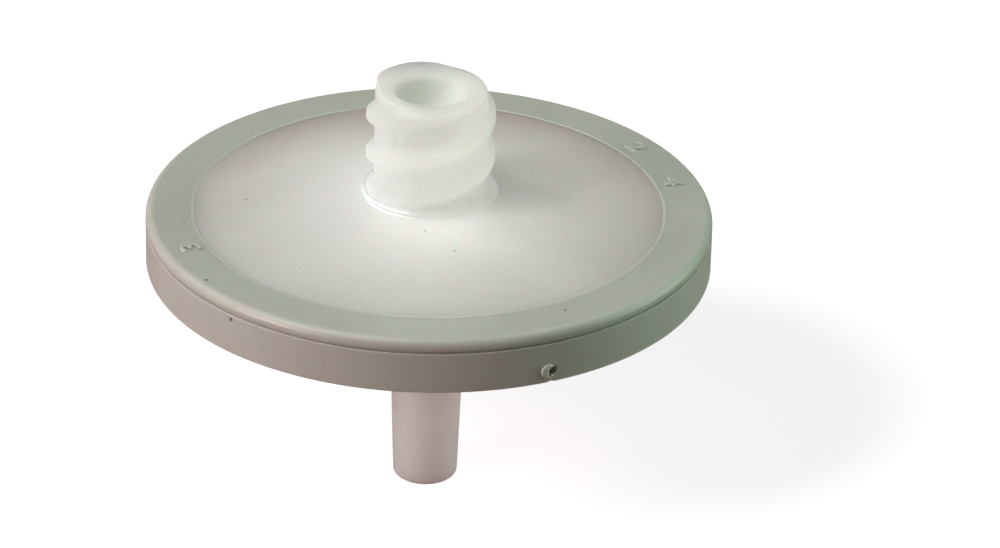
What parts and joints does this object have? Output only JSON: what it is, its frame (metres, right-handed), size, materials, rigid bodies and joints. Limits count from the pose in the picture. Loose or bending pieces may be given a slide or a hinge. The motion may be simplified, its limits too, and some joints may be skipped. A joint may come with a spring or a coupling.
{
  "type": "syringe filter",
  "caption": "Disc-shaped disposable syringe filter with a threaded female luer-lock inlet, a male luer slip outlet and an overmoulded rim.",
  "frame": {"origin": "centre of the outlet tip's end face, on the flow axis", "axes": "+Z along the flow axis from the outlet tip towards the inlet; -Y is the front, the side of the moulding gate, which lies 24 degrees towards +X"},
  "size_m": [0.034, 0.034, 0.0262],
  "materials": {
    "inlet_plastic": "translucent natural polypropylene, moulded satin",
    "outlet_plastic": "translucent natural polypropylene, moulded satin",
    "ring_plastic": "translucent greyish polypropylene, moulded satin",
    "membrane": "white microporous membrane, matt"
  },
  "bodies": {
    "root": {"inlet_housing": "inlet_plastic", "membrane": "membrane", "outlet_housing": "outlet_plastic", "overmould_ring": "ring_plastic"}
  },
  "joints": []
}
